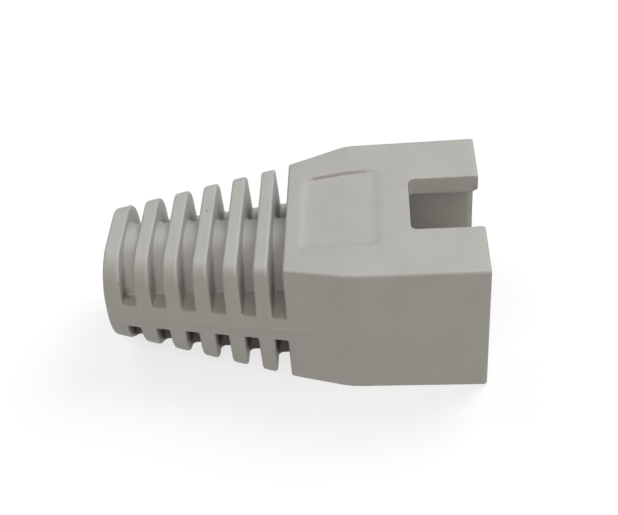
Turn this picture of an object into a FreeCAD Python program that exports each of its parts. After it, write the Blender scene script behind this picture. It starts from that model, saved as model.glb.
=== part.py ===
import FreeCAD, Part
import math
import os

# Strain relief boot for an 8-way modular plug, moulded in one piece of soft plastic.
# Millimetres. +X points out of the plug mouth, +Y across, +Z up to the latch side.
# The origin is under the middle of the boot, on the flat it stands on.

vector = FreeCAD.Vector

# The plug that the boot holds, and the room it is given
plug_width = 11.68
plug_height = 7.5
plug_clearance = 0.11
plug_depth = 9.4

# The cable that the tail holds
cable_diameter = 5.2
cable_clearance = 0.15
core_wall = 0.79

# Height of the cable axis and of the mould parting line above the base
axis_z = 4.87

# Shroud walls, lengths and outside rounding
side_wall = 1.5
top_wall = 1.42
floor_wall = 1.16
shroud_length = 9.3
bevel_length = 4.13
mould_draft_deg = 0.85
edge_radius = 0.2
upper_crease_radius = 4.0
lower_crease_radius = 15.0

# Lead-in chamfer round the plug mouth
lead_in_length = 0.4
lead_in_width = 0.25

# Funnel from the plug cavity down to the cable
funnel_length = 1.6
funnel_mouth_diameter = 7.0

# Latch notch in the top wall, open at the mouth
notch_length = 4.91
notch_width = 5.55
notch_corner_radius = 0.45

# Shallow bare panel on the top, crossing the bevel
panel_length = 5.15
panel_tail_width = 7.7
panel_mouth_width = 8.3
panel_depth = 0.2
panel_corner_radius = 0.35
panel_setback = 1.2

# Ribbed tail; ribs and gaps are measured at the parting line, and the ribs thin out above and below it
rib_count = 6
rib_thickness = 1.2
end_rib_thickness = 1.32
rib_gap = 0.875
rib_draft_deg = 1.3
rib_edge_radius = 0.16
rail_thickness = 1.86

# Pockets between the ribs under the rails, which leave a keel under the core
pocket_depth = 2.2
pocket_corner_radius = 0.33
keel_rise = 0.1

# Tail's outline at its end: widths, and how far it goes above and below the axis
tail_end_width = 8.84
tail_end_top_width = 8.84
tail_end_rise = 3.92
tail_end_drop = 3.94
tail_end_upper_corner = 2.9
tail_end_lower_corner = 3.7

# The same at its root, where the half above the parting line leans in
tail_root_width = 13.18
tail_root_top_width = 11.9
tail_root_rise = 4.78
tail_root_drop = 4.36
tail_root_upper_corner = 0.4
tail_root_lower_corner = 0.25

# Mould parting line, a low ridge along both sides
parting_ridge_width = 0.16
parting_ridge_height = 0.04

# Widths and heights that follow from the plug and its walls
cavity_width = plug_width + 2 * plug_clearance
cavity_height = plug_height + 2 * plug_clearance
shroud_width = cavity_width + 2 * side_wall
shroud_height = cavity_height + top_wall + floor_wall
bore_radius = cable_diameter / 2 + cable_clearance
core_radius = bore_radius + core_wall

# Stations along the length, from the tail's end to the mouth
tail_length = end_rib_thickness + (rib_count - 1) * rib_thickness + rib_count * rib_gap
overall_length = tail_length + bevel_length + shroud_length
x_tail_end = -overall_length / 2
x_root = x_tail_end + tail_length
x_crease = x_root + bevel_length
x_mouth = x_crease + shroud_length

# Draft of the shroud, widest at the mouth
draft_rise = shroud_length * math.tan(math.radians(mould_draft_deg))
crease_width = shroud_width - 2 * draft_rise
crease_height = shroud_height - draft_rise

# Spare length that a cutting solid has beyond the surface it cuts
overrun = 1.0

# Distance under which two places count as the same
tolerance = 1e-3


def arc_corner(before, corner, after, radius):
    """Start, middle and end of the arc that rounds one corner of a flat outline."""
    back = (before - corner).normalize()
    ahead = (after - corner).normalize()
    half_angle = back.getAngle(ahead) / 2
    setback = radius / math.tan(half_angle)
    inward = (back + ahead).normalize()
    centre = corner + inward * (radius / math.sin(half_angle))
    return corner + back * setback, centre - inward * radius, corner + ahead * setback


def outline(corners):
    """Closed wire through (point, radius) corners, each rounded by its own arc."""
    count = len(corners)
    stops = []
    for number, (point, radius) in enumerate(corners):
        before = corners[number - 1][0]
        after = corners[(number + 1) % count][0]
        if radius > 0:
            stops.append(arc_corner(before, point, after, radius))
        else:
            stops.append((point, point, point))
    edges = []
    for number, (start, middle, end) in enumerate(stops):
        if start.distanceToPoint(end) > 0:
            edges.append(Part.Arc(start, middle, end).toShape())
        next_start = stops[(number + 1) % count][0]
        edges.append(Part.LineSegment(end, next_start).toShape())
    return Part.Wire(edges)


def box_between(low, high):
    size = high - low
    return Part.makeBox(size.x, size.y, size.z, low)


def cylinder_along_x(x_low, x_high, radius):
    return Part.makeCylinder(radius, x_high - x_low, vector(x_low, 0, axis_z), vector(1, 0, 0))


def edges_in_plane(shape, x):
    """Edges that lie wholly in the plane across the boot at x."""
    chosen = []
    for edge in shape.Edges:
        box = edge.BoundBox
        if abs(box.XMin - x) < tolerance and abs(box.XMax - x) < tolerance:
            chosen.append(edge)
    return chosen


def shroud_corners(shape):
    """Edges along the shroud and round both its ends, without seams on the parting line."""
    along = [edge for edge in shape.Edges if edge.BoundBox.XLength > 10 * tolerance]
    rims = edges_in_plane(shape, x_root) + edges_in_plane(shape, x_mouth)
    return [edge for edge in along + rims if abs(edge.CenterOfMass.z - axis_z) > tolerance]


def shroud_plan(z, root_width):
    """Outline of the shroud and its bevel from above, at a height."""
    root_half = root_width / 2
    crease_half = crease_width / 2
    mouth_half = shroud_width / 2
    return outline([
        (vector(x_root, -root_half, z), 0),
        (vector(x_crease, -crease_half, z), upper_crease_radius),
        (vector(x_mouth, -mouth_half, z), 0),
        (vector(x_mouth, mouth_half, z), 0),
        (vector(x_crease, crease_half, z), upper_crease_radius),
        (vector(x_root, root_half, z), 0),
    ])


def make_shroud():
    """Outside of the shroud and its bevel, as one solid with rounded edges."""
    upper_height = shroud_height - axis_z
    lean = (tail_root_width - tail_root_top_width) / tail_root_rise
    lower = Part.Face(shroud_plan(0, tail_root_width)).extrude(vector(0, 0, axis_z))
    upper_wires = [
        shroud_plan(axis_z, tail_root_width),
        shroud_plan(shroud_height, tail_root_width - lean * upper_height),
    ]
    plan_solid = lower.fuse(Part.makeLoft(upper_wires, True, True))
    root_low = axis_z - tail_root_drop
    root_high = axis_z + tail_root_rise
    side = outline([
        (vector(x_root, 0, root_low), 0),
        (vector(x_crease, 0, 0), lower_crease_radius),
        (vector(x_mouth, 0, 0), 0),
        (vector(x_mouth, 0, shroud_height), 0),
        (vector(x_crease, 0, crease_height), upper_crease_radius),
        (vector(x_root, 0, root_high), 0),
    ])
    side.translate(vector(0, -shroud_width / 2, 0))
    side_solid = Part.Face(side).extrude(vector(0, shroud_width, 0))
    shroud = plan_solid.common(side_solid).removeSplitter()
    return shroud.makeFillet(edge_radius, shroud_corners(shroud))


def along_tail(x, at_end, at_root):
    """Size at a station of the tail that changes evenly from its end to its root."""
    return at_end + (x - x_tail_end) / tail_length * (at_root - at_end)


def tail_section(x, inset):
    """Outline of the tail at a station, set in by a depth all round."""
    half = along_tail(x, tail_end_width, tail_root_width) / 2 - inset
    top_half = along_tail(x, tail_end_top_width, tail_root_top_width) / 2 - inset
    top = axis_z + along_tail(x, tail_end_rise, tail_root_rise) - inset
    bottom = axis_z - along_tail(x, tail_end_drop, tail_root_drop) + inset
    upper = along_tail(x, tail_end_upper_corner, tail_root_upper_corner) - inset
    lower = along_tail(x, tail_end_lower_corner, tail_root_lower_corner) - inset
    return outline([
        (vector(x, -half, bottom), lower),
        (vector(x, half, bottom), lower),
        (vector(x, half, axis_z), 0),
        (vector(x, top_half, top), upper),
        (vector(x, -top_half, top), upper),
        (vector(x, -half, axis_z), 0),
    ])


def tail_envelope(x_end):
    """Tapered outside of the tail, from its end to a station past its root."""
    wires = [tail_section(x, 0) for x in (x_tail_end, x_end)]
    return Part.makeLoft(wires, True, True)


def slab_across(x_low, x_high, z_low, z_high):
    """Block between two stations and two heights, wider than the tail."""
    reach = tail_root_width / 2 + overrun
    return box_between(vector(x_low, -reach, z_low), vector(x_high, reach, z_high))


def rib_span(number):
    """Stations of one rib's two faces at the parting line."""
    end = x_root - rib_gap - (rib_count - 1 - number) * (rib_thickness + rib_gap)
    start = x_tail_end if number == 0 else end - rib_thickness
    return start, end


def draft_at(z):
    """How far a rib's face has drawn back at a height, by its draft."""
    return abs(z - axis_z) * math.tan(math.radians(rib_draft_deg))


def gap_span(number, z):
    """Stations of the two faces of the gap after a rib, at a height."""
    start = rib_span(number)[1] - draft_at(z)
    if number == rib_count - 1:
        return start, x_root
    return start, rib_span(number + 1)[0] + draft_at(z)


def make_half_rib(envelope, number, z_far):
    """The part of a rib between the parting line and a far height, with its rims rounded."""
    start, end = rib_span(number)
    draft = draft_at(z_far)
    reach = tail_root_width / 2 + overrun
    profile = Part.makePolygon([
        vector(start, -reach, axis_z),
        vector(end, -reach, axis_z),
        vector(end - draft, -reach, z_far),
        vector(start + draft, -reach, z_far),
        vector(start, -reach, axis_z),
    ])
    half = envelope.common(Part.Face(profile).extrude(vector(0, 2 * reach, 0)))
    rims = []
    for edge in half.Edges:
        if edge.BoundBox.XLength < rib_thickness / 2 and abs(edge.CenterOfMass.z - axis_z) > tolerance:
            rims.append(edge)
    return half.makeFillet(rib_edge_radius, rims)


def make_ribs(envelope):
    """The ribs, each in two halves that meet on the parting line."""
    ribs = []
    for number in range(rib_count):
        for z_far in (-overrun, shroud_height + overrun):
            ribs.append(make_half_rib(envelope, number, z_far))
    return ribs


def make_pocket(number, side, keel_half):
    """Cutting solid for the pocket at one side of a gap, with rounded inner corners."""
    inner = side * keel_half
    outer = side * (keel_half + pocket_corner_radius + overrun)
    wires = []
    for z in (-overrun, axis_z - rail_thickness / 2):
        start, end = gap_span(number, z)
        wires.append(outline([
            (vector(start, outer, z), 0),
            (vector(start, inner, z), pocket_corner_radius),
            (vector(end, inner, z), pocket_corner_radius),
            (vector(end, outer, z), 0),
        ]))
    return Part.makeLoft(wires, True, True)


def make_keel():
    """What joins the ribs under the core, one piece for each gap, held in both its ribs."""
    hold = rib_thickness / 2
    rail_low = axis_z - rail_thickness / 2
    pieces = []
    for number in range(rib_count):
        start, end = gap_span(number, axis_z)
        middle = (start + end) / 2
        keel_half = along_tail(middle, tail_end_width, tail_root_width) / 2 - pocket_depth
        reach = keel_half + pocket_corner_radius
        wire = tail_section(middle, keel_rise)
        wire.translate(vector(start - hold - middle, 0, 0))
        piece = Part.Face(wire).extrude(vector(rib_gap + 2 * hold, 0, 0))
        piece = piece.common(box_between(vector(start - hold, -reach, 0), vector(end + hold, reach, rail_low)))
        for side in (-1, 1):
            piece = piece.cut(make_pocket(number, side, keel_half))
        pieces.append(piece)
    return pieces


def make_tail():
    """Ribs, side rails, round core and keel, as one solid."""
    x_inside_rib = x_tail_end + rib_thickness / 2
    x_seat = x_root + edge_radius
    envelope = tail_envelope(x_seat)
    half_rail = rail_thickness / 2
    rails = envelope.common(slab_across(x_inside_rib, x_seat, axis_z - half_rail, axis_z + half_rail))
    core = cylinder_along_x(x_inside_rib, x_seat, core_radius)
    return rails.multiFuse(make_ribs(envelope) + make_keel() + [core])


def make_parting_ridge():
    """Low ridge along both sides, at the height of the cable axis."""
    crease_half = crease_width / 2 + parting_ridge_height
    root_half = tail_root_width / 2 + parting_ridge_height
    end_half = tail_end_width / 2 + parting_ridge_height
    mouth_half = shroud_width / 2
    mouth_start = x_mouth - edge_radius
    tail_start = x_tail_end + rib_edge_radius
    low = axis_z - parting_ridge_width / 2
    plan = outline([
        (vector(tail_start, -end_half, low), 0),
        (vector(x_root, -root_half, low), 0),
        (vector(x_crease, -crease_half, low), upper_crease_radius),
        (vector(mouth_start, -mouth_half, low), 0),
        (vector(mouth_start, mouth_half, low), 0),
        (vector(x_crease, crease_half, low), upper_crease_radius),
        (vector(x_root, root_half, low), 0),
        (vector(tail_start, end_half, low), 0),
    ])
    return Part.Face(plan).extrude(vector(0, 0, parting_ridge_width))


def make_plug_cavity():
    """Space for the plug, with its lead-in and the funnel to the cable."""
    half = cavity_width / 2
    low = floor_wall
    high = floor_wall + cavity_height
    back = x_mouth - plug_depth
    cavity = box_between(vector(back, -half, low), vector(x_mouth + overrun, half, high))
    flare_start = x_mouth - lead_in_length
    flare_wires = []
    for x, spread in ((flare_start, 0), (x_mouth, lead_in_width)):
        corners = [
            vector(x, -half - spread, low - spread),
            vector(x, half + spread, low - spread),
            vector(x, half + spread, high + spread),
            vector(x, -half - spread, high + spread),
        ]
        flare_wires.append(Part.makePolygon(corners + [corners[0]]))
    flare = Part.makeLoft(flare_wires, True, True)
    funnel = Part.makeCone(
        bore_radius,
        funnel_mouth_diameter / 2,
        funnel_length,
        vector(back - funnel_length, 0, axis_z),
        vector(1, 0, 0),
    )
    return cavity.fuse(flare).fuse(funnel)


def make_cable_bore():
    return cylinder_along_x(x_tail_end - overrun, x_mouth - plug_depth, bore_radius)


def make_latch_notch():
    """Cutting solid for the latch notch, square at the mouth and rounded inside."""
    half = notch_width / 2
    back = x_mouth - notch_length
    low = axis_z
    plan = outline([
        (vector(back, -half, low), notch_corner_radius),
        (vector(x_mouth + overrun, -half, low), 0),
        (vector(x_mouth + overrun, half, low), 0),
        (vector(back, half, low), notch_corner_radius),
    ])
    return Part.Face(plan).extrude(vector(0, 0, shroud_height + overrun - low))


def make_panel_recess(shroud):
    """Thin layer that the panel takes off the top, following its bevel."""
    start = x_root + panel_setback
    end = start + panel_length
    tail_half = panel_tail_width / 2
    mouth_half = panel_mouth_width / 2
    plan = outline([
        (vector(start, -tail_half, axis_z), panel_corner_radius),
        (vector(end, -mouth_half, axis_z), panel_corner_radius),
        (vector(end, mouth_half, axis_z), panel_corner_radius),
        (vector(start, tail_half, axis_z), panel_corner_radius),
    ])
    prism = Part.Face(plan).extrude(vector(0, 0, shroud_height))
    lowered = shroud.copy()
    lowered.translate(vector(0, 0, -panel_depth))
    return prism.cut(lowered)


def make_boot():
    shroud = make_shroud()
    boot = shroud.multiFuse([make_tail(), make_parting_ridge()])
    for cutter in (make_plug_cavity(), make_cable_bore(), make_latch_notch(), make_panel_recess(shroud)):
        boot = boot.cut(cutter)
    return boot.removeSplitter()


os.makedirs("parts", exist_ok=True)
boot = make_boot()
print("solids", len(boot.Solids), "valid", boot.isValid(), "volume mm3", round(boot.Volume, 2))
print("length, width, height mm", round(overall_length, 3), shroud_width, shroud_height)
boot.Solids[0].exportStep("parts/boot.step")
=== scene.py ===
import math

import bpy
import numpy as np
from mathutils import Matrix, Vector


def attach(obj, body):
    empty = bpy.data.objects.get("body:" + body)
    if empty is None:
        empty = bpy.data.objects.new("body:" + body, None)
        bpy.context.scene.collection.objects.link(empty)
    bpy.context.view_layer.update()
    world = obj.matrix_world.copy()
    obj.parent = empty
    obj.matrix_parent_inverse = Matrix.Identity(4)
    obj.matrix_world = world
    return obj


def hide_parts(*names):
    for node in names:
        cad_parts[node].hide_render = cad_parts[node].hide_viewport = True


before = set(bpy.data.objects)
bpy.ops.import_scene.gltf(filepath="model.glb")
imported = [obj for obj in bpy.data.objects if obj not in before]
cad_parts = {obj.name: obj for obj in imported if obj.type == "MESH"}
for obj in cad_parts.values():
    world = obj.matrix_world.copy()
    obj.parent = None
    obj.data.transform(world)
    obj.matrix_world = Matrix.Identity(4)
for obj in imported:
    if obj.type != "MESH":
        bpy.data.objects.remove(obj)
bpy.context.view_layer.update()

# The visual model of a soft moulded strain relief boot, on a pale floor.
# Sizes in this script are millimetres and are turned into metres where they are used.

MM = 0.001
scene = bpy.context.scene

# Finish of the soft plastic, with the colours of painted shade and painted highlights
body_colour = (0.445, 0.442, 0.417, 1.0)
shade_colour = (0.425, 0.420, 0.393, 1.0)
stain_colour = (0.150, 0.108, 0.072, 1.0)
# Colour of the painted shade along the panel's far edge
edge_shade_colour = (0.150, 0.135, 0.110, 1.0)
fleck_colour = (0.060, 0.052, 0.045, 1.0)
# Colour of the painted highlights
highlight_colour = (0.800, 0.790, 0.760, 1.0)
# Colour of the painted shade in the pockets under the rails
pocket_shade_colour = (0.060, 0.048, 0.042, 1.0)
roughness_low = 0.40
roughness_high = 0.56
refraction = 1.5

# Unevenness of the finish: size of the noise's features, its detail and the range of it that counts
cloud_size = 2.6
cloud_detail = 4.0
cloud_range = (0.35, 0.65)
gloss_size = 0.7
gloss_detail = 3.0
gloss_range = (0.3, 0.7)

# Relief of the finish: size of the features, their detail, strength and height
wave_size = 1.4
wave_detail = 2.0
wave_strength = 0.35
wave_height = 0.03
grain_size = 0.09
grain_detail = 2.0
grain_strength = 0.25
grain_height = 0.004

# Marks on the surface, stains and flecks and also painted highlights: place, radius, share of the mark's own
# colour, that colour
mark_middle = 0.3
marks = {
    "fleck_on_rib": ((-6.05, 1.27, 9.27), 0.10, 0.75, fleck_colour),
    "fleck_on_rail": ((-4.30, -5.92, 4.57), 0.07, 0.70, fleck_colour),
    "fleck_under_line": ((-4.35, -5.91, 4.41), 0.07, 0.60, fleck_colour),
    "stain_at_notch": ((12.78, 2.78, 9.32), 0.28, 0.35, stain_colour),
    "stain_in_gap": ((-11.60, -3.60, 6.05), 0.50, 0.65, stain_colour),
    "stain_by_gap": ((-11.71, -4.14, 6.25), 0.30, 0.50, stain_colour),
    "stain_on_rib": ((-11.79, -4.17, 7.47), 0.14, 0.40, stain_colour),
    # Painted highlights on the core and on a rib's top
    "painted_highlight_on_core": ((-11.21, -0.92, 8.28), 0.10, 0.22, highlight_colour),
    "painted_highlight_behind": ((-11.20, -0.39, 8.39), 0.09, 0.18, highlight_colour),
    "painted_highlight_on_rib": ((-10.39, -2.63, 8.95), 0.09, 0.15, highlight_colour),
}

# The tail's two ends along the boot, its half widths there, and the rails' underside
tail_start = -13.0
tail_root = -0.43
tail_start_half = 4.42
tail_root_half = 6.59
rail_low = 3.94
axis_height = 4.87
core_radius = 3.54

# Where painted shade darkens the pockets under the rails: depths below the tail's sides, heights about the
# rails' underside, distances past the tail's root, distances within the core's surface, and shares of open
# air that are seen within a reach
pocket_depths = (0.7, 1.75)
pocket_heights = (-0.15, 0.05)
pocket_root_margins = (0.1, 0.3)
pocket_core_margins = (0.5, 0.2)
shelter_shares = (0.62, 0.92)
shelter_reach = 2.0
shelter_samples = 12

# The bare panel: its two ends along the boot, half widths there, and a height below which it never lies
panel_start = 0.77
panel_end = 5.92
panel_start_half = 3.85
panel_end_half = 4.15
panel_low = 8.94

# Painted shade along the panel's far edge, where the recess's step lies in shade: width, distance in from the
# edge, strength, where it begins and ends along the panel, the heights over which it comes in, and how much
# the clouding thins it
edge_shade_width = 0.09
edge_shade_inset = 0.07
edge_shade_share = 0.3
edge_shade_begins = (-0.1, 0.6)
edge_shade_ends = (3.0, 4.4)
edge_shade_heights = (7.94, 8.94)
edge_shade_cloud_range = (0.35, 0.60)
edge_shade_thinnest = 0.6

# Softening of the moulded edges
voxel_size = 0.07
smooth_passes = 2
smooth_strength = 0.5
start_edge_reach = 0.7
end_edge_reach = 0.9
cross_edge_passes = 140
triangle_limit = 190000

# Camera
camera_place = (5.939, -62.384, 58.446)
camera_angles_deg = (49.7812, 3.7660, 1.4014)
focal_length = 67.19
sensor_width = 36.0
nearest_view = 1.0

# Light: soft boxes about the boot, each with its azimuth and height in degrees, power in watts and tint
light_distance = 420.0
light_size = 250.0
white_light = (1.0, 1.0, 1.0)
warm_light = (1.07, 1.0, 0.94)
cool_light = (0.94, 1.0, 1.07)
soft_boxes = {
    "back_right": (45, 50, 1.250, white_light),
    "back_left": (135, 50, 0.430, cool_light),
    "left": (180, 50, 0.170, warm_light),
    "front": (270, 50, 0.520, warm_light),
    "front_low": (270, 20, 0.260, warm_light),
    "front_right_low": (315, 20, 0.225, warm_light),
}

# Floor: half its side, its colour and glow as the camera sees them, and the light that it returns to the boot
floor_half = 600.0
floor_colour = (0.30, 0.30, 0.30, 1.0)
floor_glow = 0.72
floor_light = 0.30
white = (1.0, 1.0, 1.0, 1.0)


def make_tree(name):
    """New material with an empty node tree."""
    material = bpy.data.materials.new(name)
    material.use_nodes = True
    material.node_tree.nodes.clear()
    return material, material.node_tree


def add_node(tree, kind, **inputs):
    """Node of a kind, with its named sockets set."""
    node = tree.nodes.new(kind)
    for name, value in inputs.items():
        node.inputs[name.replace("_", " ")].default_value = value
    return node


def noise_at(tree, coordinates, size, detail):
    """Noise whose features are about the given size across."""
    noise = add_node(tree, "ShaderNodeTexNoise", Scale=1 / (size * MM), Detail=detail)
    tree.links.new(coordinates.outputs["Object"], noise.inputs["Vector"])
    return noise.outputs["Fac"]


def map_range(tree, source, low, high, to_low, to_high):
    """A value's range turned evenly into another, and held at its two ends."""
    node = add_node(tree, "ShaderNodeMapRange", From_Min=low, From_Max=high, To_Min=to_low, To_Max=to_high)
    tree.links.new(source, node.inputs["Value"])
    return node.outputs["Result"]


def colour_socket(sockets, name):
    """The colour socket of a Mix node, which shares its name with other types."""
    return [socket for socket in sockets if socket.name == name and socket.type == "RGBA"][0]


def mix_colours(tree, factor, first, second):
    """Colour mix by a factor; each colour is a socket or a plain value."""
    node = tree.nodes.new("ShaderNodeMix")
    node.data_type = "RGBA"
    tree.links.new(factor, node.inputs["Factor"])
    for name, value in (("A", first), ("B", second)):
        socket = colour_socket(node.inputs, name)
        if isinstance(value, tuple):
            socket.default_value = value
        else:
            tree.links.new(value, socket)
    return colour_socket(node.outputs, "Result")


def calculate(tree, operation, *values):
    """Math node; each value is a socket or a plain number."""
    node = tree.nodes.new("ShaderNodeMath")
    node.operation = operation
    for number, value in enumerate(values):
        if isinstance(value, (int, float)):
            node.inputs[number].default_value = value
        else:
            tree.links.new(value, node.inputs[number])
    return node.outputs["Value"]


def product(tree, first, *others):
    """Masks multiplied together."""
    for other in others:
        first = calculate(tree, "MULTIPLY", first, other)
    return first


def mark_mask(tree, place, centre, radius, share):
    """Soft round mask about a point of the surface."""
    distance = tree.nodes.new("ShaderNodeVectorMath")
    distance.operation = "DISTANCE"
    tree.links.new(place, distance.inputs[0])
    distance.inputs[1].default_value = [value * MM for value in centre]
    return map_range(tree, distance.outputs["Value"], mark_middle * radius * MM, radius * MM, share, 0.0)


def painted_pocket_shade_mask(tree, along, across, height):
    """Painted shade for the deep places under the rails, well in from the tail's sides and sheltered from the
    open air.
    """
    slope = (tail_root_half - tail_start_half) / (tail_root - tail_start)
    side = calculate(tree, "MULTIPLY_ADD", along, slope, (tail_start_half - slope * tail_start) * MM)
    depth = calculate(tree, "SUBTRACT", side, calculate(tree, "ABSOLUTE", across))
    rise = calculate(tree, "SUBTRACT", height, axis_height * MM)
    from_axis = calculate(tree, "MULTIPLY_ADD", across, across, calculate(tree, "MULTIPLY", rise, rise))
    shelter = add_node(tree, "ShaderNodeAmbientOcclusion", Distance=shelter_reach * MM)
    shelter.samples = shelter_samples
    shallow, deepest = (value * MM for value in pocket_depths)
    low, high = ((rail_low + value) * MM for value in pocket_heights)
    near, far = ((tail_root + value) * MM for value in pocket_root_margins)
    inner, outer = (((core_radius - value) * MM) ** 2 for value in pocket_core_margins)
    return product(
        tree,
        map_range(tree, depth, shallow, deepest, 0.0, 1.0),
        map_range(tree, height, low, high, 1.0, 0.0),
        map_range(tree, along, near, far, 1.0, 0.0),
        map_range(tree, from_axis, inner, outer, 0.0, 1.0),
        map_range(tree, shelter.outputs["AO"], *shelter_shares, 1.0, 0.0),
    )


def painted_edge_shade_mask(tree, along, across, height, cloud):
    """Thin line of painted shade in the far corner of the recessed panel, which fades towards the mouth."""
    slope = (panel_end_half - panel_start_half) / (panel_end - panel_start)
    line_start = (panel_start_half - edge_shade_inset - slope * panel_start) * MM
    line = calculate(tree, "MULTIPLY_ADD", along, slope, line_start)
    offset = calculate(tree, "ABSOLUTE", calculate(tree, "SUBTRACT", across, line))
    first, full = ((panel_start + value) * MM for value in edge_shade_begins)
    fading, last = ((panel_start + value) * MM for value in edge_shade_ends)
    low, high = (value * MM for value in edge_shade_heights)
    return product(
        tree,
        map_range(tree, offset, mark_middle * edge_shade_width * MM, edge_shade_width * MM, edge_shade_share, 0.0),
        map_range(tree, along, first, full, 0.0, 1.0),
        map_range(tree, along, fading, last, 1.0, 0.0),
        map_range(tree, height, low, high, 0.0, 1.0),
        map_range(tree, cloud, *edge_shade_cloud_range, edge_shade_thinnest, 1.0),
    )


def make_bump(tree, coordinates, size, detail, strength, height):
    """Relief from noise."""
    bump = add_node(tree, "ShaderNodeBump", Strength=strength, Distance=height * MM)
    tree.links.new(noise_at(tree, coordinates, size, detail), bump.inputs["Height"])
    return bump


def make_plastic():
    """Satin soft plastic with faint mottling, a fine moulded skin, the marks of use, painted shade and
    painted highlights.
    """
    material, tree = make_tree("soft_pvc")
    coordinates = tree.nodes.new("ShaderNodeTexCoord")
    place = coordinates.outputs["Object"]
    axes = tree.nodes.new("ShaderNodeSeparateXYZ")
    tree.links.new(place, axes.inputs["Vector"])
    along, across, height = (axes.outputs[axis] for axis in "XYZ")
    shader = tree.nodes.new("ShaderNodeBsdfPrincipled")
    shader.inputs["IOR"].default_value = refraction
    output = tree.nodes.new("ShaderNodeOutputMaterial")
    tree.links.new(shader.outputs["BSDF"], output.inputs["Surface"])

    cloud = noise_at(tree, coordinates, cloud_size, cloud_detail)
    clouding = map_range(tree, cloud, *cloud_range, 0.0, 1.0)
    colour = mix_colours(tree, clouding, shade_colour, body_colour)
    # Painted shade in the deep pockets under the rails
    colour = mix_colours(tree, painted_pocket_shade_mask(tree, along, across, height), colour, pocket_shade_colour)
    # Painted shade along the panel's far edge
    colour = mix_colours(tree, painted_edge_shade_mask(tree, along, across, height, cloud), colour, edge_shade_colour)
    # Stains and flecks, and painted highlights
    for centre, radius, share, mark_colour in marks.values():
        colour = mix_colours(tree, mark_mask(tree, place, centre, radius, share), colour, mark_colour)
    tree.links.new(colour, shader.inputs["Base Color"])

    gloss = noise_at(tree, coordinates, gloss_size, gloss_detail)
    roughness = map_range(tree, gloss, *gloss_range, roughness_low, roughness_high)
    tree.links.new(roughness, shader.inputs["Roughness"])

    wave = make_bump(tree, coordinates, wave_size, wave_detail, wave_strength, wave_height)
    grain = make_bump(tree, coordinates, grain_size, grain_detail, grain_strength, grain_height)
    tree.links.new(wave.outputs["Normal"], grain.inputs["Normal"])
    tree.links.new(grain.outputs["Normal"], shader.inputs["Normal"])
    return material


def make_moulding(cad):
    """The boot with its moulded edges softened, from a fine remesh of the solid."""
    mesh = cad.data.copy()
    mesh.transform(Matrix.Scale(1 / MM, 4))
    piece = bpy.data.objects.new("moulded_boot", mesh)
    scene.collection.objects.link(piece)
    remesh = piece.modifiers.new("remesh", "REMESH")
    remesh.mode = "VOXEL"
    remesh.voxel_size = voxel_size
    remesh.adaptivity = 0.0
    smooth = piece.modifiers.new("smooth", "SMOOTH")
    smooth.factor = smooth_strength
    smooth.iterations = smooth_passes
    fine = evaluated_mesh(piece)
    piece.modifiers.clear()
    piece.data = fine
    ease_cross_edges(piece)
    fine = evaluated_mesh(piece)
    triangles = sum(len(face.vertices) - 2 for face in fine.polygons)
    piece.modifiers.clear()
    piece.data = fine
    thin = piece.modifiers.new("thin", "DECIMATE")
    thin.ratio = min(1.0, triangle_limit / triangles)
    final = evaluated_mesh(piece)
    piece.modifiers.clear()
    piece.data = final
    final.transform(Matrix.Scale(MM, 4))
    final.shade_smooth()
    print("moulding triangles", triangles, "then", len(final.polygons))
    return piece


def ease_cross_edges(piece):
    """Smooth the panel's two cross edges further, since they are soft in the moulding."""
    points = np.empty(3 * len(piece.data.vertices))
    piece.data.vertices.foreach_get("co", points)
    points = points.reshape(-1, 3)
    by_edge = np.zeros(len(points), dtype=bool)
    for edge, reach in ((panel_start, start_edge_reach), (panel_end, end_edge_reach)):
        by_edge |= abs(points[:, 0] - edge) < reach
    on_panel = (abs(points[:, 1]) < panel_end_half) & (points[:, 2] > panel_low)
    group = piece.vertex_groups.new(name="cross_edges")
    group.add(np.flatnonzero(by_edge & on_panel).tolist(), 1.0, "REPLACE")
    smooth = piece.modifiers.new("ease", "SMOOTH")
    smooth.factor = smooth_strength
    smooth.iterations = cross_edge_passes
    smooth.vertex_group = group.name


def evaluated_mesh(piece):
    """The piece's mesh with its modifiers applied."""
    graph = bpy.context.evaluated_depsgraph_get()
    return bpy.data.meshes.new_from_object(piece.evaluated_get(graph))


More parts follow.
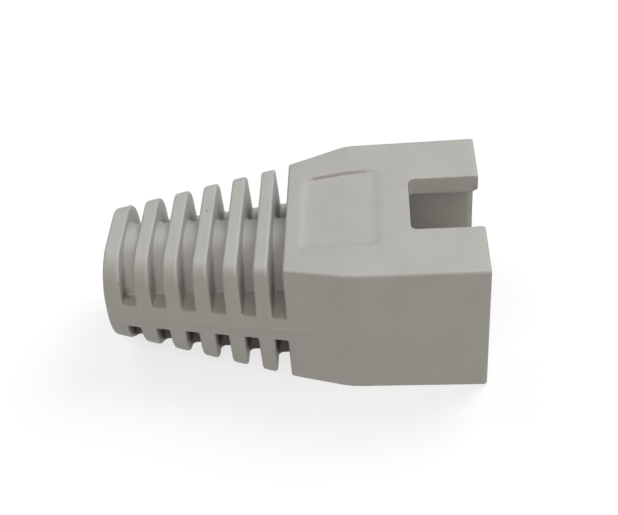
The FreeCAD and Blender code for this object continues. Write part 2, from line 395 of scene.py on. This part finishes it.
def make_floor():
    """Pale floor that shows white to the camera and keeps the object's shadow."""
    half = floor_half * MM
    corners = [(-half, -half, 0), (half, -half, 0), (half, half, 0), (-half, half, 0)]
    mesh = bpy.data.meshes.new("floor")
    mesh.from_pydata(corners, [], [(0, 1, 2, 3)])
    floor = bpy.data.objects.new("floor", mesh)
    scene.collection.objects.link(floor)
    material, tree = make_tree("pale_floor")
    output = tree.nodes.new("ShaderNodeOutputMaterial")
    path = tree.nodes.new("ShaderNodeLightPath")
    seen = calculate(tree, "MAXIMUM", path.outputs["Is Camera Ray"], path.outputs["Is Glossy Ray"])
    pale = add_node(tree, "ShaderNodeBsdfDiffuse", Color=floor_colour)
    glow = add_node(tree, "ShaderNodeEmission", Color=white, Strength=floor_glow)
    both = tree.nodes.new("ShaderNodeAddShader")
    tree.links.new(pale.outputs["BSDF"], both.inputs[0])
    tree.links.new(glow.outputs["Emission"], both.inputs[1])
    returned = add_node(tree, "ShaderNodeEmission", Color=white, Strength=floor_light)
    choose = tree.nodes.new("ShaderNodeMixShader")
    tree.links.new(seen, choose.inputs["Fac"])
    tree.links.new(returned.outputs["Emission"], choose.inputs[1])
    tree.links.new(both.outputs["Shader"], choose.inputs[2])
    tree.links.new(choose.outputs["Shader"], output.inputs["Surface"])
    mesh.materials.append(material)


def make_sky():
    """World that is white to the camera and gives no light."""
    world = bpy.data.worlds.new("sky")
    scene.world = world
    world.use_nodes = True
    tree = world.node_tree
    tree.nodes.clear()
    path = tree.nodes.new("ShaderNodeLightPath")
    seen = add_node(tree, "ShaderNodeBackground", Color=white)
    output = tree.nodes.new("ShaderNodeOutputWorld")
    tree.links.new(path.outputs["Is Camera Ray"], seen.inputs["Strength"])
    tree.links.new(seen.outputs["Background"], output.inputs["Surface"])


def make_soft_box(name, azimuth_deg, height_deg, power, tint):
    """Square soft box that looks at the middle of the boot from a direction."""
    light = bpy.data.lights.new(name, "AREA")
    light.shape = "SQUARE"
    light.size = light_size * MM
    light.energy = power
    light.color = tint
    lamp = bpy.data.objects.new(name, light)
    azimuth = math.radians(azimuth_deg)
    height = math.radians(height_deg)
    level = math.cos(height)
    toward = Vector((level * math.cos(azimuth), level * math.sin(azimuth), math.sin(height)))
    lamp.location = toward * light_distance * MM
    lamp.rotation_euler = toward.to_track_quat("Z", "Y").to_euler()
    scene.collection.objects.link(lamp)


def make_camera():
    """Camera that looks down on the boot from its near side."""
    lens = bpy.data.cameras.new("camera")
    lens.sensor_width = sensor_width
    lens.lens = focal_length
    lens.clip_start = nearest_view * MM
    camera = bpy.data.objects.new("camera", lens)
    camera.location = Vector(camera_place) * MM
    camera.rotation_euler = [math.radians(angle) for angle in camera_angles_deg]
    scene.collection.objects.link(camera)
    scene.camera = camera


scene.view_settings.view_transform = "Standard"
boot = make_moulding(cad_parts["boot"])
boot.data.materials.clear()
boot.data.materials.append(make_plastic())
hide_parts("boot")
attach(boot, "root")
make_floor()
make_sky()
for name, settings in soft_boxes.items():
    make_soft_box(name, *settings)
make_camera()
